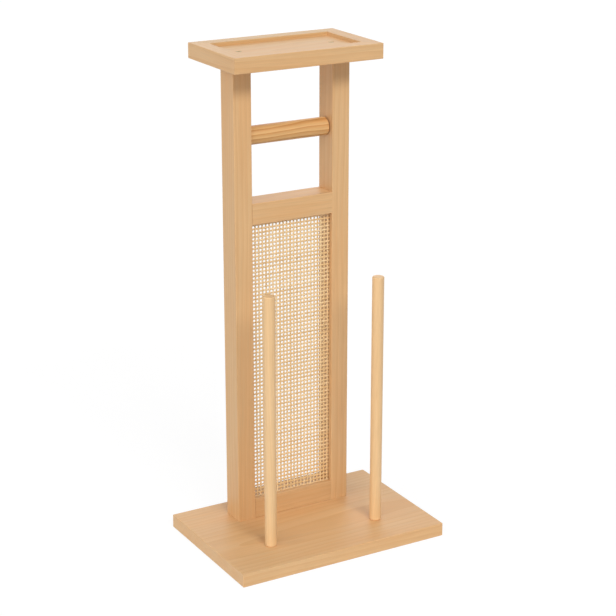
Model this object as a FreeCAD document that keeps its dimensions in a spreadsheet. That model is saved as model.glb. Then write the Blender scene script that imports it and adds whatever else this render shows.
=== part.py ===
import FreeCAD, Part
import math
import os
import Sketcher

# Toilet paper stand. X runs to the right, the front is -Y, Z is up.
# The origin is the middle of the base board's underside.

Vector = FreeCAD.Vector
doc = FreeCAD.newDocument("paper_stand")

# Driving sizes, in millimetres or counts
driving_sizes = {
    # base board
    "base_width": 300,
    "base_depth": 203,
    "base_thickness": 18,
    "edge_round": 0.8,
    # posts and rails
    "post_width": 25,
    "post_depth": 34,
    "post_gap": 117,
    "post_back_margin": 31,
    "rail_height": 28,
    "panel_opening": 379,
    "bar_above_rail": 84.5,
    "tray_above_bar": 92.5,
    # cane panel and the groove that holds it
    "cane_setback": 6.5,
    "cane_thickness": 1.6,
    "cane_groove_depth": 6,
    "cane_side_clearance": 0.2,
    "cane_edge_clearance": 0.5,
    "cane_strand_width": 4.6,
    "cane_gap_columns": 10,
    "cane_gap_rows": 29,
    # tray
    "tray_side_overhang": 21.5,
    "tray_front_overhang": 45.5,
    "tray_back_overhang": 45.5,
    "tray_floor_thickness": 15,
    "tray_recess": 5,
    "rim_width": 20,
    # spare-roll rods
    "rod_diameter": 15.5,
    "rod_height": 340,
    "rod_spread": 159,
    "rod_front_margin": 57,
    "rod_top_round": 1.5,
    "rod_foot_chamfer": 1,
    # roll bar between the posts
    "bar_diameter": 24,
    "bar_end_gap": 1.5,
    "bar_end_round": 1,
    "pin_diameter": 6,
    "pin_reach": 6.5,
    "pin_embed": 14,
    "pin_tip_chamfer": 0.8,
    "pin_running_clearance": 0.06,
    "socket_floor_clearance": 1,
    "collar_shoulder": 1.75,
    "collar_length": 5,
    "plunger_flange_length": 3,
    "plunger_flange_clearance": 0.3,
    "plunger_stop_clearance": 0.1,
    "stem_side_clearance": 1,
    "stem_floor_clearance": 4,
    "spring_bore_diameter": 10.5,
    "spring_length": 24,
    "spring_side_clearance": 1,
    "spring_wire": 0.9,
    "spring_turns": 8,
    "spring_seat_clearance": 0.3,
    # hidden joinery
    "glue_clearance": 0.05,
    "dowel_diameter": 6,
    "dowel_length": 30,
    "dowel_spacing": 14,
    "dowel_end_clearance": 0.5,
    "dowel_chamfer": 0.8,
    "screw_head_diameter": 8,
    "screw_shank_diameter": 4,
    "screw_head_sink": 0.3,
    "screw_tip_length": 4,
    "screw_tip_clearance": 1,
    "base_screw_length": 45,
    "tray_screw_length": 40,
    "post_screw_spacing": 18,
    "tray_screw_spacing": 132,
}

sheet = doc.addObject("Spreadsheet::Sheet", "sizes")
for row, (alias, number) in enumerate(driving_sizes.items(), start=1):
    sheet.set(f"A{row}", alias)
    sheet.set(f"B{row}", str(number))
    sheet.setAlias(f"B{row}", alias)
doc.recompute()


def half(alias):
    return f"(sizes.{alias} / 2)"


def measure(expression):
    return float(sheet.evalExpression(expression))


# Places and sizes that several pieces share, as expressions on the sheet
post_inner = half("post_gap")
post_outer = "(sizes.post_gap / 2 + sizes.post_width)"
post_middle = "(sizes.post_gap / 2 + sizes.post_width / 2)"
post_back = "(sizes.base_depth / 2 - sizes.post_back_margin)"
post_front = f"({post_back} - sizes.post_depth)"
post_axis = f"({post_back} - sizes.post_depth / 2)"
post_foot = "sizes.base_thickness"
bottom_rail_top = f"({post_foot} + sizes.rail_height)"
mid_rail_underside = f"({bottom_rail_top} + sizes.panel_opening)"
rail_rise = f"({mid_rail_underside} - {post_foot})"
bar_axis_height = f"({mid_rail_underside} + sizes.rail_height + sizes.bar_above_rail)"
tray_underside = f"({bar_axis_height} + sizes.tray_above_bar)"
tray_floor_top = f"({tray_underside} + sizes.tray_floor_thickness)"
tray_side = f"({post_outer} + sizes.tray_side_overhang)"
tray_front = f"({post_front} - sizes.tray_front_overhang)"
tray_back = f"({post_back} + sizes.tray_back_overhang)"
floor_side = f"({tray_side} - sizes.rim_width)"
floor_front = f"({tray_front} + sizes.rim_width)"
floor_back = f"({tray_back} - sizes.rim_width)"
cane_front = f"({post_front} + sizes.cane_setback)"
groove_front = f"({cane_front} - sizes.cane_side_clearance)"
groove_back = f"({cane_front} + sizes.cane_thickness + sizes.cane_side_clearance)"
rod_side = half("rod_spread")
rod_axis = "(sizes.rod_front_margin - sizes.base_depth / 2)"
rod_foot = "sizes.base_thickness"
bar_half = f"({post_inner} - sizes.bar_end_gap)"
pin_radius = half("pin_diameter")
pin_tip = f"({post_inner} + sizes.pin_reach)"
running_radius = f"({pin_radius} + sizes.pin_running_clearance)"
collar_face = f"({bar_half} - sizes.collar_length)"
flange_face = f"({collar_face} - sizes.plunger_stop_clearance)"
flange_back = f"({flange_face} - sizes.plunger_flange_length)"
bore_floor = f"({flange_back} - sizes.spring_length)"
bore_radius = half("spring_bore_diameter")
collar_radius = f"({bore_radius} + sizes.collar_shoulder)"
coil_radius = f"({bore_radius} - sizes.spring_side_clearance - sizes.spring_wire / 2)"
stem_radius = f"({coil_radius} - sizes.spring_wire / 2 - sizes.stem_side_clearance)"
plunger_travel = "(sizes.pin_reach + sizes.bar_end_gap)"
dowel_half = half("dowel_length")
first_dowel_height = f"({post_foot} + sizes.rail_height / 2 - sizes.dowel_spacing / 2)"
screw_head = half("screw_head_diameter")
screw_shank = half("screw_shank_diameter")
screw_cone = f"({screw_head} - {screw_shank})"
tray_screw_side = half("tray_screw_spacing")


def new_body(label):
    body = doc.addObject("PartDesign::Body", label)
    body.Label = label
    return body


def origin_plane(body, role):
    return next(item for item in body.Origin.OriginFeatures if item.Role == role)


def new_sketch(body, name, role, move):
    # move is the sketch's local origin: two places in its plane and one along its normal
    sketch = body.newObject("Sketcher::SketchObject", f"{body.Label}_{name}")
    sketch.AttachmentSupport = [(origin_plane(body, role), "")]
    sketch.MapMode = "FlatFace"
    for axis, place in zip("xyz", move):
        sketch.setExpression(f"AttachmentOffset.Base.{axis}", str(place))
    doc.recompute()
    return sketch


def outline(body, name, role, points, move=("0", "0", "0")):
    # a closed outline whose corners are pairs of expressions
    sketch = new_sketch(body, name, role, move)
    corners = [[float(sketch.evalExpression(place)) for place in point] for point in points]
    count = len(corners)
    for index, corner in enumerate(corners):
        following = corners[(index + 1) % count]
        sketch.addGeometry(Part.LineSegment(Vector(*corner, 0), Vector(*following, 0)))
    for index in range(count):
        sketch.addConstraint(Sketcher.Constraint("Coincident", index, 2, (index + 1) % count, 1))
    for index, point in enumerate(points):
        for kind, place, value in zip(("DistanceX", "DistanceY"), point, corners[index]):
            constraint = sketch.addConstraint(Sketcher.Constraint(kind, -1, 1, index, 1, value))
            sketch.renameConstraint(constraint, f"{kind}_{index}")
            sketch.setExpression(f"Constraints.{kind}_{index}", place)
    doc.recompute()
    return sketch


def box_corners(low_x, high_x, low_y, high_y):
    return [(low_x, low_y), (high_x, low_y), (high_x, high_y), (low_x, high_y)]


def pad(body, sketch, length):
    feature = body.newObject("PartDesign::Pad", f"{sketch.Name}_pad")
    feature.Profile = sketch
    feature.setExpression("Length", length)
    doc.recompute()
    return feature


def turn(body, sketch, axis, kind="Revolution"):
    feature = body.newObject(f"PartDesign::{kind}", f"{sketch.Name}_{kind.lower()}")
    feature.Profile = sketch
    feature.ReferenceAxis = (sketch, [axis])
    feature.Angle = 360
    doc.recompute()
    return feature


def repeat(body, feature, sketch, first_axis, first_length, second_axis=None, second_length=None):
    # two copies along one sketch axis, or two by two along both
    pattern = body.newObject("PartDesign::LinearPattern", f"{feature.Name}_row")
    pattern.Originals = [feature]
    pattern.Direction = (sketch, [first_axis])
    pattern.Occurrences = 2
    pattern.setExpression("Length", first_length)
    if second_axis:
        pattern.Direction2 = (sketch, [second_axis])
        pattern.Occurrences2 = 2
        pattern.setExpression("Length2", second_length)
    body.Tip = pattern
    doc.recompute()
    return pattern


def edge_names(shape, wanted):
    return [f"Edge{number}" for number, edge in enumerate(shape.Edges, start=1) if wanted(edge)]


def same(first, second):
    return abs(first - second) < 1e-6


def runs_along(edge, axis):
    return isinstance(edge.Curve, Part.Line) and same(abs(edge.Curve.Direction.dot(axis)), 1)


def is_circle(edge, radius):
    return isinstance(edge.Curve, Part.Circle) and same(edge.Curve.Radius, radius)


def ease_edges(body, wanted, radius="sizes.edge_round", kind="Fillet"):
    base = body.Tip
    feature = body.newObject(f"PartDesign::{kind}", f"{body.Label}_{kind.lower()}")
    feature.Base = (base, edge_names(base.Shape, wanted))
    feature.setExpression("Radius" if kind == "Fillet" else "Size", radius)
    doc.recompute()
    return feature


along_x, along_y, along_z = Vector(1, 0, 0), Vector(0, 1, 0), Vector(0, 0, 1)


def screw_outline(length):
    # half section from the head's flat face, with the shank pointing along +Y of the sketch
    sink = "sizes.screw_head_sink"
    return [
        ("0", sink),
        (screw_head, sink),
        (screw_shank, f"{sink} + {screw_cone}"),
        (screw_shank, f"{sink} + {length} - sizes.screw_tip_length"),
        ("0", f"{sink} + {length}"),
    ]


def screw_seat(depth):
    # countersunk hole from a board's face through to depth
    spare = "sizes.glue_clearance"
    sink = "sizes.screw_head_sink"
    return [
        ("0", "0"),
        (f"{screw_head} + {sink} + {spare}", "0"),
        (f"{screw_shank} + {spare}", f"{sink} + {screw_cone}"),
        (f"{screw_shank} + {spare}", depth),
        ("0", depth),
    ]


def pilot_hole(start, length):
    end = f"sizes.screw_head_sink + {length} + sizes.screw_tip_clearance"
    radius = f"{screw_shank} + sizes.glue_clearance"
    return [("0", start), (radius, start), (radius, end), ("0", end)]


def downwards(points, top):
    # an outline measured down from top
    return [(x, f"{top} - ({y})") for x, y in points]


def dowel_hole(side):
    depth = f"{side} * ({dowel_half} + sizes.dowel_end_clearance)"
    return box_corners("0", depth, "0", f"{half('dowel_diameter')} + sizes.glue_clearance")


def build_base():
    body = new_body("base_plate")
    board = outline(body, "board", "XY_Plane",
                    box_corners(f"-{half('base_width')}", half("base_width"),
                                f"-{half('base_depth')}", half("base_depth")))
    pad(body, board, "sizes.base_thickness")
    ease_edges(body, lambda edge: True)
    seats = outline(body, "post_seat", "XZ_Plane", screw_seat("sizes.base_thickness"),
                    (f"-{post_middle}", "0", f"-({post_axis} + sizes.post_screw_spacing / 2)"))
    holes = turn(body, seats, "V_Axis", "Groove")
    repeat(body, holes, seats, "H_Axis", f"2 * {post_middle}", "N_Axis", "sizes.post_screw_spacing")
    rod_seats = outline(body, "rod_seat", "XZ_Plane", screw_seat("sizes.base_thickness"),
                        (f"-{rod_side}", "0", f"-{rod_axis}"))
    rod_holes = turn(body, rod_seats, "V_Axis", "Groove")
    repeat(body, rod_holes, rod_seats, "H_Axis", "sizes.rod_spread")
    return body


def build_post(label, side):
    # side is -1 for the left post and 1 for the right one
    body = new_body(label)
    section = outline(body, "section", "XY_Plane",
                      box_corners(f"{side} * {post_inner}", f"{side} * {post_outer}", post_front, post_back),
                      ("0", "0", post_foot))
    pad(body, section, f"{tray_underside} - {post_foot}")
    ease_edges(body, lambda edge: runs_along(edge, along_z))
    groove_floor = f"{side} * ({post_inner} + sizes.cane_groove_depth)"
    slot = outline(body, "cane_slot", "XY_Plane",
                   box_corners(f"{side} * {post_inner}", groove_floor, groove_front, groove_back),
                   ("0", "0", f"{bottom_rail_top} - sizes.cane_groove_depth"))
    pocket = body.newObject("PartDesign::Pocket", f"{label}_cane_groove")
    pocket.Profile = slot
    pocket.Reversed = True
    pocket.setExpression("Length", "sizes.panel_opening + 2 * sizes.cane_groove_depth")
    doc.recompute()
    inner_face = f"{side} * {post_inner}"
    socket_depth = f"{side} * (sizes.pin_reach + sizes.socket_floor_clearance)"
    socket = outline(body, "bar_socket", "XZ_Plane", box_corners("0", socket_depth, "0", running_radius),
                     (inner_face, bar_axis_height, f"-{post_axis}"))
    turn(body, socket, "H_Axis", "Groove")
    hole = outline(body, "dowel_hole", "XZ_Plane", dowel_hole(side),
                   (inner_face, first_dowel_height, f"-{post_axis}"))
    drilled = turn(body, hole, "H_Axis", "Groove")
    repeat(body, drilled, hole, "V_Axis", "sizes.dowel_spacing", "V_Axis", rail_rise)
    pilot = outline(body, "screw_hole", "XZ_Plane", pilot_hole(post_foot, "sizes.base_screw_length"),
                    (f"{side} * {post_middle}", "0", f"-({post_axis} + sizes.post_screw_spacing / 2)"))
    pilots = turn(body, pilot, "V_Axis", "Groove")
    repeat(body, pilots, pilot, "N_Axis", "sizes.post_screw_spacing")
    tray_pilot = outline(body, "tray_screw_hole", "XZ_Plane",
                         downwards(pilot_hole("sizes.tray_floor_thickness", "sizes.tray_screw_length"),
                                   tray_floor_top),
                         (f"{side} * {tray_screw_side}", "0", f"-{post_axis}"))
    turn(body, tray_pilot, "V_Axis", "Groove")
    return body


def build_rail(label, underside, groove_up):
    # the section has the cane's groove in its upper or lower face
    body = new_body(label)
    top = f"({underside} + sizes.rail_height)"
    if groove_up:
        face, far, floor = top, underside, f"{top} - sizes.cane_groove_depth"
    else:
        face, far, floor = underside, top, f"{underside} + sizes.cane_groove_depth"
    section = outline(body, "section", "YZ_Plane", [
        (post_front, far), (post_back, far), (post_back, face), (groove_back, face),
        (groove_back, floor), (groove_front, floor), (groove_front, face), (post_front, face),
    ], ("0", "0", f"-{post_inner}"))
    pad(body, section, "sizes.post_gap")
    limits = body.Shape.BoundBox

    def outer_edge(edge):
        place = edge.CenterOfMass.y
        return runs_along(edge, along_x) and (same(place, limits.YMin) or same(place, limits.YMax))

    ease_edges(body, outer_edge)
    lowest_dowel = f"{underside} + sizes.rail_height / 2 - sizes.dowel_spacing / 2"
    hole = outline(body, "dowel_hole", "XZ_Plane", dowel_hole(1),
                   (f"-{post_inner}", lowest_dowel, f"-{post_axis}"))
    drilled = turn(body, hole, "H_Axis", "Groove")
    far_end = f"sizes.post_gap - {dowel_half} - sizes.dowel_end_clearance"
    repeat(body, drilled, hole, "H_Axis", far_end, "V_Axis", "sizes.dowel_spacing")
    return body


def build_dowels():
    body = new_body("rail_dowels")
    chamfer = "sizes.dowel_chamfer"
    radius = half("dowel_diameter")
    profile = [
        (f"-{dowel_half}", "0"), (f"-{dowel_half}", f"{radius} - {chamfer}"),
        (f"-{dowel_half} + {chamfer}", radius), (f"{dowel_half} - {chamfer}", radius),
        (dowel_half, f"{radius} - {chamfer}"), (dowel_half, "0"),
    ]
    for name, rise in (("bottom", "0"), ("mid", rail_rise)):
        pair = outline(body, name, "XZ_Plane", profile,
                       (f"-{post_inner}", f"{first_dowel_height} + {rise}", f"-{post_axis}"))
        dowel = turn(body, pair, "H_Axis")
        repeat(body, dowel, pair, "H_Axis", "sizes.post_gap", "V_Axis", "sizes.dowel_spacing")
    return body


def build_cane():
    # one holed face, thickened; its edges sit in the grooves of the posts and rails
    width, height = measure("sizes.post_gap"), measure("sizes.panel_opening")
    reach = measure("sizes.cane_groove_depth - sizes.cane_edge_clearance")
    sill, front = measure(bottom_rail_top), measure(cane_front)
    columns, rows = int(measure("sizes.cane_gap_columns")), int(measure("sizes.cane_gap_rows"))
    pitch_x, pitch_z = width / columns, height / rows
    strand = measure("sizes.cane_strand_width")

    def rectangle(middle_x, middle_z, size_x, size_z):
        signs = ((-1, -1), (1, -1), (1, 1), (-1, 1), (-1, -1))
        return Part.makePolygon([Vector(middle_x + sign_x * size_x / 2, front, middle_z + sign_z * size_z / 2)
                                 for sign_x, sign_z in signs])

    wires = [rectangle(0, sill + height / 2, width + 2 * reach, height + 2 * reach)]
    for column in range(columns):
        for row in range(rows):
            wires.append(rectangle((column + 0.5) * pitch_x - width / 2, sill + (row + 0.5) * pitch_z,
                                   pitch_x - strand, pitch_z - strand))
    panel = doc.addObject("Part::Feature", "cane_panel")
    panel.Label = "cane_panel"
    thickness = along_y * measure("sizes.cane_thickness")
    panel.Shape = Part.Face(wires, "Part::FaceMakerBullseye").extrude(thickness)
    return panel


def build_tray_floor():
    body = new_body("tray_floor")
    board = outline(body, "board", "XY_Plane",
                    box_corners(f"-{floor_side}", floor_side, floor_front, floor_back),
                    ("0", "0", tray_underside))
    pad(body, board, "sizes.tray_floor_thickness")
    seats = outline(body, "screw_seat", "XZ_Plane",
                    downwards(screw_seat("sizes.tray_floor_thickness"), tray_floor_top),
                    (f"-{tray_screw_side}", "0", f"-{post_axis}"))
    holes = turn(body, seats, "V_Axis", "Groove")
    repeat(body, holes, seats, "H_Axis", "sizes.tray_screw_spacing")
    return body


def build_rim(label, corners, run):
    # a strip mitred at both ends: two outer corners, then the two inner ones
    body = new_body(label)
    strip = outline(body, "strip", "XY_Plane", corners, ("0", "0", tray_underside))
    pad(body, strip, "sizes.tray_floor_thickness + sizes.tray_recess")
    limits = body.Shape.BoundBox
    longest = limits.XLength if run == along_x else limits.YLength

    def shown_edge(edge):
        is_top, is_outer = same(edge.CenterOfMass.z, limits.ZMax), same(edge.Length, longest)
        return runs_along(edge, run) and (is_top or is_outer)

    ease_edges(body, shown_edge)
    return body


def build_rod(label, side):
    body = new_body(label)
    radius = half("rod_diameter")
    top = f"{rod_foot} + sizes.rod_height"
    section = outline(body, "section", "XZ_Plane", box_corners("0", radius, rod_foot, top),
                      (f"{side} * {rod_side}", "0", f"-{rod_axis}"))
    turn(body, section, "V_Axis")
    ease_edges(body, lambda edge: same(edge.CenterOfMass.z, measure(top)), "sizes.rod_top_round")
    ease_edges(body, lambda edge: same(edge.CenterOfMass.z, measure(rod_foot)), "sizes.rod_foot_chamfer",
               "Chamfer")
    pilot = outline(body, "screw_hole", "XZ_Plane", pilot_hole(rod_foot, "sizes.base_screw_length"),
                    (f"{side} * {rod_side}", "0", f"-{rod_axis}"))
    turn(body, pilot, "V_Axis", "Groove")
    return body


def build_screws(label, length, place_x, place_y, top=None, spacing_x=None, spacing_y=None):
    # identical countersunk screws, driven up from the floor or down from top
    body = new_body(label)
    points = screw_outline(length)
    if top:
        points = downwards(points, top)
    profile = outline(body, "profile", "XZ_Plane", points, (place_x, "0", f"-({place_y})"))
    screw = turn(body, profile, "V_Axis")
    repeat(body, screw, profile, "H_Axis", spacing_x, "N_Axis" if spacing_y else None, spacing_y)
    return body


bar_axis_place = ("0", bar_axis_height, f"-{post_axis}")


def build_bar():
    # wooden bar: a pin hole in the left end, the spring's bore and the collar's seat in the right end
    body = new_body("bar_body")
    radius = half("bar_diameter")
    spare = "sizes.glue_clearance"
    pin_hole = f"{pin_radius} + {spare}"
    pin_floor = f"-{bar_half} + sizes.pin_embed + {spare}"
    section = outline(body, "section", "XZ_Plane", [
        (f"-{bar_half}", pin_hole), (f"-{bar_half}", radius), (bar_half, radius), (bar_half, collar_radius),
        (collar_face, collar_radius), (collar_face, bore_radius), (bore_floor, bore_radius),
        (bore_floor, "0"), (pin_floor, "0"), (pin_floor, pin_hole),
    ], bar_axis_place)
    turn(body, section, "H_Axis")
    ease_edges(body, lambda edge: is_circle(edge, measure(radius)), "sizes.bar_end_round")
    return body


def build_pin():
    body = new_body("bar_pin")
    tip = f"-{pin_tip}"
    root = f"-{bar_half} + sizes.pin_embed"
    chamfer = "sizes.pin_tip_chamfer"
    section = outline(body, "section", "XZ_Plane", [
        (tip, "0"), (tip, f"{pin_radius} - {chamfer}"), (f"{tip} + {chamfer}", pin_radius),
        (root, pin_radius), (root, "0"),
    ], bar_axis_place)
    turn(body, section, "H_Axis")
    return body


def build_plunger():
    body = new_body("bar_plunger")
    chamfer = "sizes.pin_tip_chamfer"
    flange = f"({bore_radius} - sizes.plunger_flange_clearance)"
    stem_end = f"{bore_floor} + {plunger_travel} + sizes.stem_floor_clearance"
    section = outline(body, "section", "XZ_Plane", [
        (stem_end, "0"), (stem_end, stem_radius), (flange_back, stem_radius), (flange_back, flange),
        (flange_face, flange), (flange_face, pin_radius), (f"{pin_tip} - {chamfer}", pin_radius),
        (pin_tip, f"{pin_radius} - {chamfer}"), (pin_tip, "0"),
    ], bar_axis_place)
    turn(body, section, "H_Axis")
    return body


def build_collar():
    body = new_body("bar_collar")
    section = outline(body, "section", "XZ_Plane",
                      box_corners(collar_face, bar_half, running_radius,
                                  f"{collar_radius} - sizes.glue_clearance"),
                      bar_axis_place)
    turn(body, section, "H_Axis")
    return body


def biarc(start, start_way, end, end_way):
    # two arcs that leave start and reach end along the given directions
    chord = end - start
    ways = start_way + end_way
    spread = 2 * (1 - start_way.dot(end_way))
    along = chord.dot(ways)
    reach = (math.sqrt(along * along + spread * chord.dot(chord)) - along) / spread
    joint = (start + end + (start_way - end_way) * reach) * 0.5
    spans = ((start, start + start_way * reach, joint), (joint, end - end_way * reach, end))
    arcs = []
    for first, corner, last in spans:
        middle = (first + last) * 0.5
        rise = corner - middle
        half_chord = (last - first).Length / 2
        sag = half_chord * math.tan(math.atan2(rise.Length, half_chord) / 2)
        arcs.append(Part.Arc(first, middle + rise.normalize() * sag, last).toShape())
    return arcs


def build_spring():
    # compression coil along the bar's axis, seated just clear of the bore's floor and the flange
    wire, radius, turns = measure("sizes.spring_wire"), measure(coil_radius), measure("sizes.spring_turns")
    axis_y, axis_z = measure(post_axis), measure(bar_axis_height)
    seat = measure("sizes.spring_seat_clearance") + wire / 2
    first_x = measure(bore_floor) + seat
    rise = measure("sizes.spring_length") - 2 * seat
    slope = rise / (turns * 2 * math.pi)
    quarters = int(turns * 4)

    def point(angle):
        return Vector(first_x + slope * angle, axis_y + radius * math.cos(angle),
                      axis_z + radius * math.sin(angle))

    def way(angle):
        return Vector(slope, -radius * math.sin(angle), radius * math.cos(angle)).normalize()

    angles = [turns * 2 * math.pi * step / quarters for step in range(quarters + 1)]
    edges = []
    for begin, finish in zip(angles, angles[1:]):
        edges.extend(biarc(point(begin), way(begin), point(finish), way(finish)))
    path = Part.Wire(edges)
    ring = Part.Wire([Part.makeCircle(wire / 2, point(0), way(0))])
    spring = doc.addObject("Part::Feature", "bar_spring")
    spring.Label = "bar_spring"
    spring.Shape = path.makePipeShell([ring], True, False)
    expected = math.pi * wire * wire / 4 * path.Length
    print(f"spring gap between turns {rise / turns - wire:.2f} mm,",
          f"volume over section times length {spring.Shape.Volume / expected:.4f}")
    return spring


outer_front_left, outer_front_right = (f"-{tray_side}", tray_front), (tray_side, tray_front)
outer_back_left, outer_back_right = (f"-{tray_side}", tray_back), (tray_side, tray_back)
inner_front_left, inner_front_right = (f"-{floor_side}", floor_front), (floor_side, floor_front)
inner_back_left, inner_back_right = (f"-{floor_side}", floor_back), (floor_side, floor_back)

pieces = [
    build_base(),
    build_post("left_post", -1),
    build_post("right_post", 1),
    build_rail("bottom_rail", post_foot, True),
    build_rail("mid_rail", mid_rail_underside, False),
    build_dowels(),
    build_cane(),
    build_tray_floor(),
    build_rim("tray_front_rim",
              [outer_front_left, outer_front_right, inner_front_right, inner_front_left], along_x),
    build_rim("tray_back_rim",
              [outer_back_right, outer_back_left, inner_back_left, inner_back_right], along_x),
    build_rim("tray_left_rim",
              [outer_back_left, outer_front_left, inner_front_left, inner_back_left], along_y),
    build_rim("tray_right_rim",
              [outer_front_right, outer_back_right, inner_back_right, inner_front_right], along_y),
    build_rod("left_rod", -1),
    build_rod("right_rod", 1),
    build_screws("post_screws", "sizes.base_screw_length", f"-{post_middle}",
                 f"{post_axis} + sizes.post_screw_spacing / 2", spacing_x=f"2 * {post_middle}",
                 spacing_y="sizes.post_screw_spacing"),
    build_screws("rod_screws", "sizes.base_screw_length", f"-{rod_side}", rod_axis,
                 spacing_x="sizes.rod_spread"),
    build_screws("tray_screws", "sizes.tray_screw_length", f"-{tray_screw_side}", post_axis,
                 top=tray_floor_top, spacing_x="sizes.tray_screw_spacing"),
    build_bar(),
    build_pin(),
    build_plunger(),
    build_collar(),
    build_spring(),
]

doc.recompute()
for item in doc.Objects:
    if "Invalid" in item.State or "Error" in item.State:
        raise RuntimeError(f"{item.Name} failed: {item.State}")
for piece in pieces:
    if piece.Shape.isNull() or not piece.Shape.isValid() or not piece.Shape.Solids:
        raise RuntimeError(f"{piece.Label} has no valid solid")

os.makedirs("parts", exist_ok=True)
for piece in pieces:
    piece.Shape.exportStep(f"parts/{piece.Label}.step")
    limits = piece.Shape.BoundBox
    print(f"{piece.Label}: {len(piece.Shape.Solids)} solids, {piece.Shape.Volume / 1000:.2f} cm3,",
          f"{limits.XLength:.1f} x {limits.YLength:.1f} x {limits.ZLength:.1f} mm")
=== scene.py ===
import math
import random

import bmesh
import bpy
from mathutils import Euler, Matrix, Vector


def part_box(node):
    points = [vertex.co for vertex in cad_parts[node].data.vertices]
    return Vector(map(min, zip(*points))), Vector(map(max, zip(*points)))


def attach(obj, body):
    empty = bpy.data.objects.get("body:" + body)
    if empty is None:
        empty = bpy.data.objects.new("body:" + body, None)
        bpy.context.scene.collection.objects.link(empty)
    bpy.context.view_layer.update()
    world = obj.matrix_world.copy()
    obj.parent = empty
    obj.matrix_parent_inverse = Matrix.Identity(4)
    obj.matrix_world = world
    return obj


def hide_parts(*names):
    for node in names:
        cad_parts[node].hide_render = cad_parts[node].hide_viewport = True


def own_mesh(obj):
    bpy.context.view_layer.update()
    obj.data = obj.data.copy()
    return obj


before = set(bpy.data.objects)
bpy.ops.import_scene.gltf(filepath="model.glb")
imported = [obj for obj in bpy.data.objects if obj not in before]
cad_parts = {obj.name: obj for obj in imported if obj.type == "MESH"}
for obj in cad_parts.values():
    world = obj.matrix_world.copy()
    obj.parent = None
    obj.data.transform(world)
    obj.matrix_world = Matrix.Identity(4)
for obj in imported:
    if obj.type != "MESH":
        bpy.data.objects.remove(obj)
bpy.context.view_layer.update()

# Toilet paper stand: pine frame and tray, woven cane panel, sprung roll bar, rods for spare rolls.
# Lengths in the dictionaries are millimetres, turned to metres where they are used.
mm = 0.001
scene = bpy.context.scene
scene.view_settings.view_transform = "Standard"
print("frame loaded:", len(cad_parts), "nodes")


def linear(hexColour):
    channels = [int(hexColour[i:i + 2], 16) / 255 for i in (1, 3, 5)]
    return tuple(c / 12.92 if c <= 0.04045 else ((c + 0.055) / 1.055) ** 2.4 for c in channels) + (1.0,)


def addNode(tree, kind, links=None, values=None, **settings):
    node = tree.nodes.new(kind)
    for setting, value in settings.items():
        setattr(node, setting, value)
    for socket, value in (values or {}).items():
        node.inputs[socket].default_value = value
    for socket, source in (links or {}).items():
        tree.links.new(source, node.inputs[socket])
    return node


def newMaterial(name, values):
    material = bpy.data.materials.new(name)
    material.use_nodes = True
    shader = material.node_tree.nodes["Principled BSDF"]
    for socket, value in values.items():
        shader.inputs[socket].default_value = value
    return material, material.node_tree, shader


def dress(node, material):
    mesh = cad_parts[node].data
    mesh.materials.clear()
    mesh.materials.append(material)


def newPiece(name, mesh, body, material, node):
    piece = bpy.data.objects.new(name, mesh)
    scene.collection.objects.link(piece)
    mesh.materials.append(material)
    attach(piece, body)
    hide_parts(node)
    return piece


# Camera, matched to the corners of the base, posts and tray
view = {
    "place": (-1076.9, -1876.5, 1048.4),
    "turnDegrees": -29.885,
    "tiltDegrees": 18.709,
    "lens": 103.94,
    "sensor": 36.0,
}

cameraData = bpy.data.cameras.new("camera")
cameraData.lens = view["lens"]
cameraData.sensor_width = view["sensor"]
camera = bpy.data.objects.new("camera", cameraData)
camera.location = Vector(view["place"]) * mm
camera.rotation_euler = (math.radians(90 - view["tiltDegrees"]), 0, math.radians(view["turnDegrees"]))
scene.collection.objects.link(camera)
scene.camera = camera
print("camera set")


# Soft white studio: an even sky, a broad key light from the front, a broader fill from the left
# and a light from behind that catches the tops
studio = {
    "sky": 0.18,
    "floorSize": 16000,
    "floorGap": 0.4,           # floor below the base, so that their faces don't coincide
    "floorColour": "#dadada",  # what the floor throws back on the object
    "floorSeen": 1.12,         # white that brings it to plain white for the camera
    "shadowShare": 0.2,        # how much of the floor's own shading shows to the camera
    "lamps": [
        {"name": "keyLight", "turns": (-16, -4, 8), "height": 38, "spread": 16, "strength": 0.565},
        {"name": "leftFill", "turns": (-75,), "height": 15, "spread": 80, "strength": 1.85},
        {"name": "backLight", "turns": (145,), "height": 35, "spread": 70, "strength": 0.6},
    ],
}

# a lamp's turns, height and spread are degrees: turns from straight in front to the right, a row of them
# for a long soft box; the spread makes the shadows soft
for lamp in studio["lamps"]:
    for turn in lamp["turns"]:
        light = bpy.data.lights.new(lamp["name"], "SUN")
        light.angle = math.radians(lamp["spread"])
        light.energy = lamp["strength"]
        lampObject = bpy.data.objects.new(lamp["name"], light)
        lampObject.rotation_euler = (math.radians(90 - lamp["height"]), 0, math.radians(turn))
        scene.collection.objects.link(lampObject)


def seenDirectly(tree):
    # 1 where the camera, a mirror or glass looks at it, 0 where it only lights the object
    rays = addNode(tree, "ShaderNodeLightPath")
    mirrored = addNode(tree, "ShaderNodeMath", {0: rays.outputs["Is Camera Ray"],
                                                1: rays.outputs["Is Glossy Ray"]}, operation="MAXIMUM")
    return addNode(tree, "ShaderNodeMath", {0: mirrored.outputs[0],
                                            1: rays.outputs["Is Transmission Ray"]}, operation="MAXIMUM")


world = bpy.data.worlds.new("studio")
scene.world = world
world.use_nodes = True
sky = world.node_tree
sky.nodes.clear()
skyLight = addNode(sky, "ShaderNodeBackground", None, {"Color": (1, 1, 1, 1), "Strength": studio["sky"]})
skySeen = addNode(sky, "ShaderNodeBackground", None, {"Color": (1, 1, 1, 1), "Strength": 1.0})
skyMix = addNode(sky, "ShaderNodeMixShader", {"Fac": seenDirectly(sky).outputs[0],
                                              1: skyLight.outputs[0], 2: skySeen.outputs[0]})
addNode(sky, "ShaderNodeOutputWorld", {"Surface": skyMix.outputs[0]})

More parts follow.
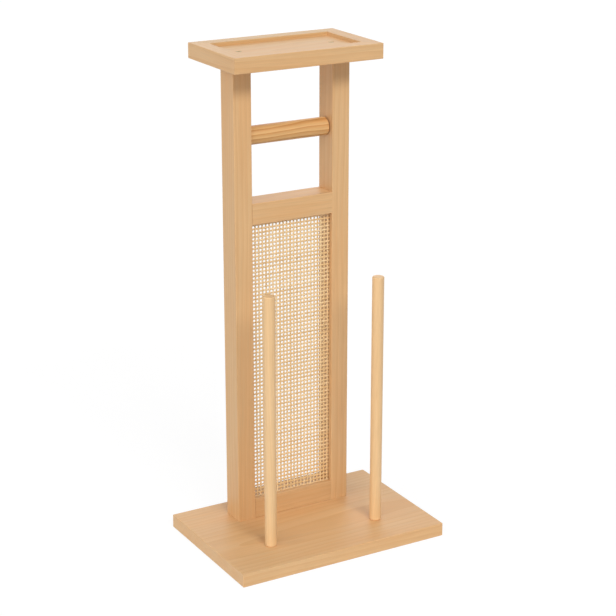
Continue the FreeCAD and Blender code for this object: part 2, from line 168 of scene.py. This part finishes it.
floorMesh = bpy.data.meshes.new("floor")
reach = studio["floorSize"] / 2 * mm
level = -studio["floorGap"] * mm
floorMesh.from_pydata([(-reach, -reach, level), (reach, -reach, level), (reach, reach, level),
                       (-reach, reach, level)], [], [(0, 1, 2, 3)])
floor = bpy.data.objects.new("floor", floorMesh)
scene.collection.objects.link(floor)

# Seamless paper: plain white to the eye, with only a trace of the object's shadow
floorMaterial, paper, paperShader = newMaterial(
    "seamlessPaper", {"Base Color": linear(studio["floorColour"]), "Roughness": 0.9})
whitePaper = addNode(paper, "ShaderNodeEmission", None,
                     {"Color": (1, 1, 1, 1), "Strength": studio["floorSeen"]})
whiteShare = addNode(paper, "ShaderNodeMath", {0: seenDirectly(paper).outputs[0]},
                     {1: 1 - studio["shadowShare"]}, operation="MULTIPLY")
paperMix = addNode(paper, "ShaderNodeMixShader", {"Fac": whiteShare.outputs[0],
                                                  1: paperShader.outputs[0], 2: whitePaper.outputs[0]})
paper.links.new(paperMix.outputs[0], paper.nodes["Material Output"].inputs["Surface"])
floorMesh.materials.append(floorMaterial)
print("studio lit")


noiseRange = {"From Min": 0.3, "From Max": 0.7}    # a noise texture's values lie mostly between these
mattLacquer = {"Coat Weight": 0.1, "Coat Roughness": 0.4}

# Planed pine under a clear matt lacquer: pale yellow-tan early wood, soft orange late-wood lines
# along the board, and a silky, not shiny, face
planedPine = {
    "name": "planedPine",
    "early": "#deb583",
    "late": "#cb9357",
    "warm": "#dba66d",
    "lateShare": 0.34,
    "lateSharpness": 2.2,
    "warmShare": 0.5,
    "ringPitch": 6.0,
    "ringWander": 9.0,         # radians of a ring's turn
    "ringStretch": 0.14,       # how much slower the rings change along the grain than across it
    "fibreWidth": 1.3,
    "fibreContrast": 0.05,
    "bandWidth": 26.0,
    "bandEdges": (0.35, 0.7),  # noise values where a warm band begins and is full
    "endRings": 0.35,          # share of the rings' contrast that is left on end grain
    "endFacing": (0.5, 0.9),   # cosines to the grain between which long grain turns to end grain
    "roughness": (0.44, 0.56),
    "fibreDepth": 0.05,
}

# Yellow pine in the tray's back rim: planed like the rest, a shade less red
yellowPine = dict(planedPine, name="yellowPine", early="#d9b583", late="#c69357", warm="#d6a66d")

# The bar is turned from a stronger grained piece of pine: honey streaks run its whole length
turnedPine = dict(planedPine, name="turnedPine", early="#e6ba7e", late="#b8742f", warm="#d69c56",
                  lateShare=0.85, lateSharpness=1.5, warmShare=0.4, ringPitch=6.0, ringWander=6.5,
                  ringStretch=0.45, fibreContrast=0.07)

# Turned beech: paler and yellower than the pine, with fine fibres and hardly any rings
turnedBeech = dict(planedPine, name="turnedBeech", early="#e9c392", late="#d9a86b", warm="#e6bb84",
                   lateShare=0.25, ringPitch=3.0, fibreWidth=0.9, fibreContrast=0.06)

# How each board was cut from the log: grain axis, its middle's place off the heart and along the log,
# the degrees by which its grain runs out of its faces, and a tone where it is paler or darker than most;
# planed pine where no wood is named. The bottom rail's darker tone is painted shade, not its wood
boards = {
    "base_plate": {"grain": "X", "heart": (24, 64), "along": 0, "runOut": (0.8, -1.2), "tone": 1.03},
    "left_post": {"grain": "Z", "heart": (31, -22), "along": 130, "runOut": (-0.9, 0.6)},
    "right_post": {"grain": "Z", "heart": (-18, -37), "along": 420, "runOut": (0.7, 1.1)},
    # painted shade: the bottom rail's tone of 0.9 darkens the whole board for the shade low under the cane
    "bottom_rail": {"grain": "X", "heart": (26, 30), "along": 640, "runOut": (1.0, -1.6), "tone": 0.9},
    "mid_rail": {"grain": "X", "heart": (-20, 42), "along": 310, "runOut": (-1.2, 1.4)},
    "tray_floor": {"grain": "X", "heart": (12, 52), "along": 900, "runOut": (1.4, -2.0)},
    "tray_front_rim": {"grain": "X", "heart": (30, 20), "along": 75, "runOut": (-0.8, 1.0)},
    "tray_back_rim": {"wood": yellowPine,
                      "grain": "X", "heart": (22, -31), "along": 510, "runOut": (1.1, -0.7), "tone": 0.97},
    "tray_left_rim": {"grain": "Y", "heart": (28, 18), "along": 240, "runOut": (0.9, 1.5)},
    "tray_right_rim": {"grain": "Y", "heart": (-24, 27), "along": 830, "runOut": (-1.3, 0.8), "tone": 0.95},
    "bar_body": {"wood": turnedPine,
                 "grain": "X", "heart": (9, 20), "along": 55, "runOut": (1.5, -2.5)},
    "left_rod": {"wood": turnedBeech,
                 "grain": "Z", "heart": (14, 25), "along": 200, "runOut": (1.2, -0.9)},
    "right_rod": {"wood": turnedBeech,
                  "grain": "Z", "heart": (-21, 19), "along": 700, "runOut": (-1.0, 1.4)},
    "rail_dowels": {"wood": turnedBeech,
                    "grain": "X", "heart": (11, 13), "along": 20, "runOut": (0.0, 0.0)},
}

# Turns that lay a board's grain along X, and the axis it lay along before
grains = {
    "X": {"turn": (0, 0, 0), "axis": (1, 0, 0)},
    "Y": {"turn": (0, 0, -math.pi / 2), "axis": (0, 1, 0)},
    "Z": {"turn": (0, math.pi / 2, 0), "axis": (0, 0, 1)},
}
ringUnit = 2 * math.pi / 20    # the wave texture draws one ring in this many scaled units
stretch = {"fibres": 0.02, "bands": 0.15}    # how much slower each changes along the grain


def boardMaterial(node, board):
    wood = board.get("wood", planedPine)
    grain = grains[board["grain"]]
    # a board's tone scales its colour; on the bottom rail it is painted shade
    tone = board.get("tone", 1.0)
    material, tree, shader = newMaterial(f"{wood['name']}_{node}", mattLacquer)
    low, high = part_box(node)
    runOut = Euler((0, *(math.radians(angle) for angle in board["runOut"])))
    turn = runOut.to_matrix() @ Euler(grain["turn"]).to_matrix()
    offset = Vector((board["along"], *board["heart"])) * mm - turn @ ((low + high) / 2)
    surface = addNode(tree, "ShaderNodeTexCoord")
    log = addNode(tree, "ShaderNodeMapping", {"Vector": surface.outputs["Object"]},
                  {"Rotation": turn.to_euler(), "Location": offset})
    spaces = {key: addNode(tree, "ShaderNodeVectorMath", {0: log.outputs[0]}, {1: (share, 1, 1)},
                           operation="MULTIPLY").outputs[0]
              for key, share in dict(stretch, rings=wood["ringStretch"]).items()}

    # growth rings: pale early wood that darkens slowly, then stops sharply
    rings = addNode(tree, "ShaderNodeTexWave", {"Vector": spaces["rings"]},
                    {"Scale": ringUnit / (wood["ringPitch"] * mm), "Distortion": wood["ringWander"],
                     "Detail": 2.0, "Detail Scale": 0.35, "Detail Roughness": 0.45},
                    wave_type="RINGS", rings_direction="X", wave_profile="SAW")
    lateWood = addNode(tree, "ShaderNodeMath", {0: rings.outputs["Fac"]}, {1: wood["lateSharpness"]},
                       operation="POWER")
    facing = addNode(tree, "ShaderNodeVectorMath", {0: surface.outputs["Normal"]}, {1: grain["axis"]},
                     operation="DOT_PRODUCT")
    endGrain = addNode(tree, "ShaderNodeMath", {0: facing.outputs["Value"]}, operation="ABSOLUTE")
    ringShare = addNode(tree, "ShaderNodeMapRange", {"Value": endGrain.outputs[0]},
                        {"From Min": wood["endFacing"][0], "From Max": wood["endFacing"][1],
                         "To Min": wood["lateShare"], "To Max": wood["lateShare"] * wood["endRings"]})
    lateShare = addNode(tree, "ShaderNodeMath", {0: lateWood.outputs[0], 1: ringShare.outputs[0]},
                        operation="MULTIPLY")
    ringed = addNode(tree, "ShaderNodeMixRGB", {"Fac": lateShare.outputs[0]},
                     {"Color1": linear(wood["early"]), "Color2": linear(wood["late"])})

    # broad warm bands, then fine fibres over everything
    bands = addNode(tree, "ShaderNodeTexNoise", {"Vector": spaces["bands"]},
                    {"Scale": 1 / (wood["bandWidth"] * mm), "Detail": 2.0})
    warmShare = addNode(tree, "ShaderNodeMapRange", {"Value": bands.outputs["Fac"]},
                        {"From Min": wood["bandEdges"][0], "From Max": wood["bandEdges"][1],
                         "To Min": 0.0, "To Max": wood["warmShare"]})
    warmed = addNode(tree, "ShaderNodeMixRGB", {"Fac": warmShare.outputs[0], "Color1": ringed.outputs[0]},
                     {"Color2": linear(wood["warm"])})
    fibres = addNode(tree, "ShaderNodeTexNoise", {"Vector": spaces["fibres"]},
                     {"Scale": 1 / (wood["fibreWidth"] * mm), "Detail": 3.0, "Roughness": 0.55})
    fibreTone = addNode(tree, "ShaderNodeMapRange", {"Value": fibres.outputs["Fac"]},
                        {**noiseRange, "To Min": tone * (1 - wood["fibreContrast"]),
                         "To Max": tone * (1 + wood["fibreContrast"])})
    colour = addNode(tree, "ShaderNodeVectorMath", {0: warmed.outputs[0], "Scale": fibreTone.outputs[0]},
                     operation="SCALE")
    roughness = addNode(tree, "ShaderNodeMapRange", {"Value": fibres.outputs["Fac"]},
                        {**noiseRange, "To Min": wood["roughness"][0], "To Max": wood["roughness"][1]})
    relief = addNode(tree, "ShaderNodeBump", {"Height": fibres.outputs["Fac"]},
                     {"Strength": 0.4, "Distance": wood["fibreDepth"] * mm})
    tree.links.new(colour.outputs[0], shader.inputs["Base Color"])
    tree.links.new(roughness.outputs[0], shader.inputs["Roughness"])
    tree.links.new(relief.outputs[0], shader.inputs["Normal"])
    return material


for node, board in boards.items():
    dress(node, boardMaterial(node, board))
print("wood dressed:", len(boards), "boards")


# Cane panel: flat split strands, plain over-and-under weave with square gaps
caneWeave = {
    "pitchAcross": 5.11,
    "pitchUp": 5.23,
    "strandWidth": 2.52,
    "strandThickness": 0.56,
    "lift": 0.30,              # how far a strand rises over or dips under the middle of the sheet
    "flatShare": 0.22,         # half of the flat stretch at a crossing, as a share of the pitch
    "widthSpread": 0.07,
    "wander": 0.12,
    "seed": 11,
}

# a strand's section: split face behind, rounded bark face in front, both a little eased
strandSection = [(-0.5, 0.0), (-0.3, 0.45), (0.3, 0.45), (0.5, 0.0), (0.32, -0.4), (-0.32, -0.4)]


def strandPlaces(low, high, first, pitch, margin):
    start = math.ceil((low + margin - first) / pitch)
    stop = math.floor((high - margin - first) / pitch)
    return [first + pitch * step for step in range(start, stop + 1)]


def weaveStrand(sheet, layers, ends, middles, crossings, parity, upright, chance):
    # one strand: rings of points along it, up over one crossing strand and down under the next
    middle, depth = middles
    width = caneWeave["strandWidth"] * mm * (1 + chance.uniform(-1, 1) * caneWeave["widthSpread"])
    thickness = caneWeave["strandThickness"] * mm
    drift = chance.uniform(-1, 1) * caneWeave["wander"] * mm
    tone = chance.random()
    pitch = crossings[1] - crossings[0]
    flat = pitch * caneWeave["flatShare"]
    stations = [(ends[0], 0.0)]
    for count, crossing in enumerate(crossings):
        rise = caneWeave["lift"] * mm * (1 if (count + parity) % 2 else -1)
        stations += [(place, rise) for place in (crossing - flat, crossing + flat)
                     if ends[0] < place < ends[1]]
    stations.append((ends[1], 0.0))
    previous = None
    for along, rise in stations:
        ring = []
        for across, out in strandSection:
            side = middle + drift + across * width
            front = depth - rise - out * thickness
            place = (side, front, along) if upright else (along, front, side)
            vertex = sheet.verts.new(place)
            vertex[layers["tone"]] = tone
            ring.append(vertex)
        count = len(ring)
        if previous:
            pairs = [(k, (k + 1) % count) for k in range(count)]
            for first, second in pairs:
                corners = [previous[1][first], previous[1][second], ring[second], ring[first]]
                face = sheet.faces.new(corners if upright else corners[::-1])
                face.smooth = True
                spots = [(previous[0], first), (previous[0], first + 1), (along, first + 1), (along, first)]
                for loop, (u, v) in zip(face.loops, spots if upright else spots[::-1]):
                    loop[layers["uv"]].uv = (u / mm, v * width / mm / 2)
        else:
            sheet.faces.new(ring[::-1] if upright else ring)
        previous = (along, ring)
    sheet.faces.new(previous[1] if upright else previous[1][::-1])


def wovenCane():
    chance = random.Random(caneWeave["seed"])
    low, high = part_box("cane_panel")
    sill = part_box("bottom_rail")[1].z
    depth = (low.y + high.y) / 2
    margin = caneWeave["strandWidth"] * mm
    uprights = strandPlaces(low.x, high.x, 0.0, caneWeave["pitchAcross"] * mm, margin)
    weft = strandPlaces(low.z, high.z, sill, caneWeave["pitchUp"] * mm, margin)
    sheet = bmesh.new()
    layers = {"tone": sheet.verts.layers.float.new("strandTone"), "uv": sheet.loops.layers.uv.new("strand")}
    for count, place in enumerate(uprights):
        weaveStrand(sheet, layers, (low.z, high.z), (place, depth), weft, count, True, chance)
    for count, place in enumerate(weft):
        weaveStrand(sheet, layers, (low.x, high.x), (place, depth), uprights, count + 1, False, chance)
    bmesh.ops.recalc_face_normals(sheet, faces=sheet.faces)
    mesh = bpy.data.meshes.new("wovenCane")
    sheet.to_mesh(mesh)
    sheet.free()
    print("cane woven:", len(uprights), "by", len(weft), "strands")
    return mesh


# Split cane, peeled bark face outwards: cream to straw strands with a slight sheen and fine
# lengthwise streaks, each strand a shade of its own
splitCane = {
    "pale": "#f5d6a6",
    "deep": "#e8c189",
    "streakWidth": 0.5,
    "streakStretch": 0.04,     # how much slower the streaks change along a strand than across it
    "streakContrast": 0.08,
    "roughness": (0.36, 0.5),
}

caneMaterial, caneTree, caneShader = newMaterial("splitCane", {"Coat Weight": 0.1, "Coat Roughness": 0.3})
strandTone = addNode(caneTree, "ShaderNodeAttribute", attribute_name="strandTone")
strandColour = addNode(caneTree, "ShaderNodeMixRGB", {"Fac": strandTone.outputs["Fac"]},
                       {"Color1": linear(splitCane["pale"]), "Color2": linear(splitCane["deep"])})
strandSpace = addNode(caneTree, "ShaderNodeUVMap", uv_map="strand")
streakSpace = addNode(caneTree, "ShaderNodeVectorMath", {0: strandSpace.outputs[0]},
                      {1: (splitCane["streakStretch"] / splitCane["streakWidth"],
                           1 / splitCane["streakWidth"], 1)},
                      operation="MULTIPLY")
streaks = addNode(caneTree, "ShaderNodeTexNoise", {"Vector": streakSpace.outputs[0]},
                  {"Scale": 1.0, "Detail": 2.0})
streakTone = addNode(caneTree, "ShaderNodeMapRange", {"Value": streaks.outputs["Fac"]},
                     {**noiseRange, "To Min": 1 - splitCane["streakContrast"],
                      "To Max": 1 + splitCane["streakContrast"]})
caneColour = addNode(caneTree, "ShaderNodeVectorMath", {0: strandColour.outputs[0],
                                                        "Scale": streakTone.outputs[0]}, operation="SCALE")
caneRoughness = addNode(caneTree, "ShaderNodeMapRange", {"Value": streaks.outputs["Fac"]},
                        {**noiseRange, "To Min": splitCane["roughness"][0],
                         "To Max": splitCane["roughness"][1]})
caneTree.links.new(caneColour.outputs[0], caneShader.inputs["Base Color"])
caneTree.links.new(caneRoughness.outputs[0], caneShader.inputs["Roughness"])

newPiece("wovenCane", wovenCane(), "stand", caneMaterial, "cane_panel")


# Steel: zinc plated and a little dulled on the screws, turned bright on the pins, drawn on the spring;
# fine patches break up the sheen
metals = {
    "zincSteel": {"light": "#b0996a", "dark": "#8c774a", "roughness": (0.3, 0.45), "grit": 0.6},
    "turnedSteel": {"light": "#c9c9c8", "dark": "#a5a5a6", "roughness": (0.22, 0.34), "grit": 0.25},
    "drawnWire": {"light": "#a9aaad", "dark": "#7c7d80", "roughness": (0.28, 0.4), "grit": 0.3},
}


def metalMaterial(name, metal):
    material, tree, shader = newMaterial(name, {"Metallic": 1.0})
    surface = addNode(tree, "ShaderNodeTexCoord")
    patches = addNode(tree, "ShaderNodeTexNoise", {"Vector": surface.outputs["Object"]},
                      {"Scale": 1 / (metal["grit"] * mm), "Detail": 3.0})
    colour = addNode(tree, "ShaderNodeMixRGB", {"Fac": patches.outputs["Fac"]},
                     {"Color1": linear(metal["light"]), "Color2": linear(metal["dark"])})
    roughness = addNode(tree, "ShaderNodeMapRange", {"Value": patches.outputs["Fac"]},
                        {**noiseRange, "To Min": metal["roughness"][0], "To Max": metal["roughness"][1]})
    tree.links.new(colour.outputs[0], shader.inputs["Base Color"])
    tree.links.new(roughness.outputs[0], shader.inputs["Roughness"])
    return material


metalMaterials = {name: metalMaterial(name, metal) for name, metal in metals.items()}
for node in ("bar_pin", "bar_plunger"):
    dress(node, metalMaterials["turnedSteel"])

# Spring behind the plunger, hidden in the bar: open turns of round wire that close up as it goes in
coilSpring = {
    "turns": 8,
    "radius": 3.8,             # to the middle of the wire
    "wireRadius": 0.45,
    "stepsPerTurn": 28,
    "sides": 10,
    "travel": 8.0,
}


def woundCoil(low, high):
    middle = (low + high) / 2
    wire = coilSpring["wireRadius"] * mm
    radius = coilSpring["radius"] * mm
    sides = coilSpring["sides"]
    turning = 2 * math.pi * coilSpring["turns"]
    steps = coilSpring["turns"] * coilSpring["stepsPerTurn"]
    rise = high.x - low.x - 2 * wire
    coil = bmesh.new()
    previous = None
    for step in range(steps + 1):
        angle = turning * step / steps
        outwards = Vector((0, math.cos(angle), math.sin(angle)))
        along = Vector((rise / turning, -radius * math.sin(angle), radius * math.cos(angle))).normalized()
        sideways = along.cross(outwards)
        spot = Vector((low.x + wire + rise * step / steps, middle.y, middle.z)) + outwards * radius
        ring = []
        for side in range(sides):
            around = 2 * math.pi * side / sides
            out = outwards * math.cos(around) + sideways * math.sin(around)
            ring.append(coil.verts.new(spot + out * wire))
        if previous:
            for side in range(sides):
                corners = (previous[side - 1], previous[side], ring[side], ring[side - 1])
                coil.faces.new(corners).smooth = True
        else:
            coil.faces.new(ring)
        previous = ring
    coil.faces.new(previous)
    bmesh.ops.recalc_face_normals(coil, faces=coil.faces)
    mesh = bpy.data.meshes.new("coilSpring")
    coil.to_mesh(mesh)
    coil.free()
    print("spring wound:", coilSpring["turns"], "turns")
    return mesh


springLow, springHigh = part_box("bar_spring")
spring = newPiece("coilSpring", woundCoil(springLow, springHigh), "bar",
                  metalMaterials["drawnWire"], "bar_spring")
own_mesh(spring)

# Screws: countersunk heads with a cross recess, just below the wood; the shanks are hidden in it
crossScrew = {
    "headRadius": 4.0,
    "profile": [(3.7, 0.0), (3.92, 0.08), (2.0, 2.0)],    # radius and depth: face, eased edge, cone's end
    "tipLength": 4.0,
    "recess": [(0.8, 0.4, 1.5), (2.1, 0.6, 0.0)],         # cross: half length, half width and depth
    "sides": 40,
    "turnDegrees": (14, 63, 38, 80),                      # no two crosses stopped alike
}
screwSets = {
    "postScrews": {"node": "post_screws", "headUp": False},
    "rodScrews": {"node": "rod_screws", "headUp": False},
    "trayScrews": {"node": "tray_screws", "headUp": True},
}


def circlePoints(radius):
    angles = [2 * math.pi * side / crossScrew["sides"] for side in range(crossScrew["sides"])]
    return [(radius * math.cos(angle), radius * math.sin(angle)) for angle in angles]


def crossPoints(reach, halfWidth, turn):
    # twelve corners, three for each arm
    points = []
    for quarter in range(4):
        cosine = math.cos(turn + quarter * math.pi / 2)
        sine = math.sin(turn + quarter * math.pi / 2)
        for x, y in ((reach, -halfWidth), (reach, halfWidth), (halfWidth, halfWidth)):
            points.append((x * cosine - y * sine, x * sine + y * cosine))
    return points


def driveScrew(metal, middle, face, down, length, turn):
    # outlines from the cross's floor up to the face, over the head and along the shank to the tip
    def ring(points, depth):
        return [metal.verts.new((middle[0] + x * mm, middle[1] + y * mm, face + down * depth * mm))
                for x, y in points]

    def joinRings(first, second, smooth):
        count = len(first)
        for step in range(count):
            corners = (first[step], first[(step + 1) % count], second[(step + 1) % count], second[step])
            metal.faces.new(corners).smooth = smooth

    def rim(points):
        return [metal.edges.get((points[step - 1], points[step])) for step in range(len(points))]

    floor, mouth = [ring(crossPoints(reach, halfWidth, turn), depth)
                    for reach, halfWidth, depth in crossScrew["recess"]]
    outside = [ring(circlePoints(radius), depth) for radius, depth in crossScrew["profile"]]
    outside.append(ring(circlePoints(crossScrew["profile"][-1][0]), length - crossScrew["tipLength"]))
    metal.faces.new(floor)
    joinRings(floor, mouth, False)
    for first, second in zip(outside, outside[1:]):
        joinRings(first, second, True)
    bmesh.ops.triangle_fill(metal, use_beauty=True, edges=rim(mouth) + rim(outside[0]))
    tip = ring([(0, 0)], length)[0]
    for step in range(crossScrew["sides"]):
        metal.faces.new((outside[-1][step - 1], outside[-1][step], tip)).smooth = True


def screwSet(name, node, headUp):
    low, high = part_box(node)
    inset = crossScrew["headRadius"] * mm
    places = sorted({(round(x, 4), round(y, 4)) for x in (low.x + inset, high.x - inset)
                     for y in (low.y + inset, high.y - inset)})
    face, down = (high.z, -1) if headUp else (low.z, 1)
    metal = bmesh.new()
    for middle, turnDegrees in zip(places, crossScrew["turnDegrees"]):
        driveScrew(metal, middle, face, down, (high.z - low.z) / mm, math.radians(turnDegrees))
    bmesh.ops.recalc_face_normals(metal, faces=metal.faces)
    mesh = bpy.data.meshes.new(name)
    metal.to_mesh(mesh)
    metal.free()
    print("screws driven:", name, len(places))
    return mesh


for name, screws in screwSets.items():
    newPiece(name, screwSet(name, **screws), "stand",
             metalMaterials["zincSteel"], screws["node"])

# Natural nylon, moulded: milky, faintly mottled and softly shiny
mouldedNylon = {"light": "#e6e0d2", "dark": "#d8d0be", "mottle": 3.0}
nylonMaterial, nylonTree, nylonShader = newMaterial("mouldedNylon", {"Roughness": 0.45, "IOR": 1.53})
nylonSurface = addNode(nylonTree, "ShaderNodeTexCoord")
nylonMottle = addNode(nylonTree, "ShaderNodeTexNoise", {"Vector": nylonSurface.outputs["Object"]},
                      {"Scale": 1 / (mouldedNylon["mottle"] * mm), "Detail": 2.0})
nylonColour = addNode(nylonTree, "ShaderNodeMixRGB", {"Fac": nylonMottle.outputs["Fac"]},
                      {"Color1": linear(mouldedNylon["light"]), "Color2": linear(mouldedNylon["dark"])})
nylonTree.links.new(nylonColour.outputs[0], nylonShader.inputs["Base Color"])
dress("bar_collar", nylonMaterial)
print("metal and nylon dressed")
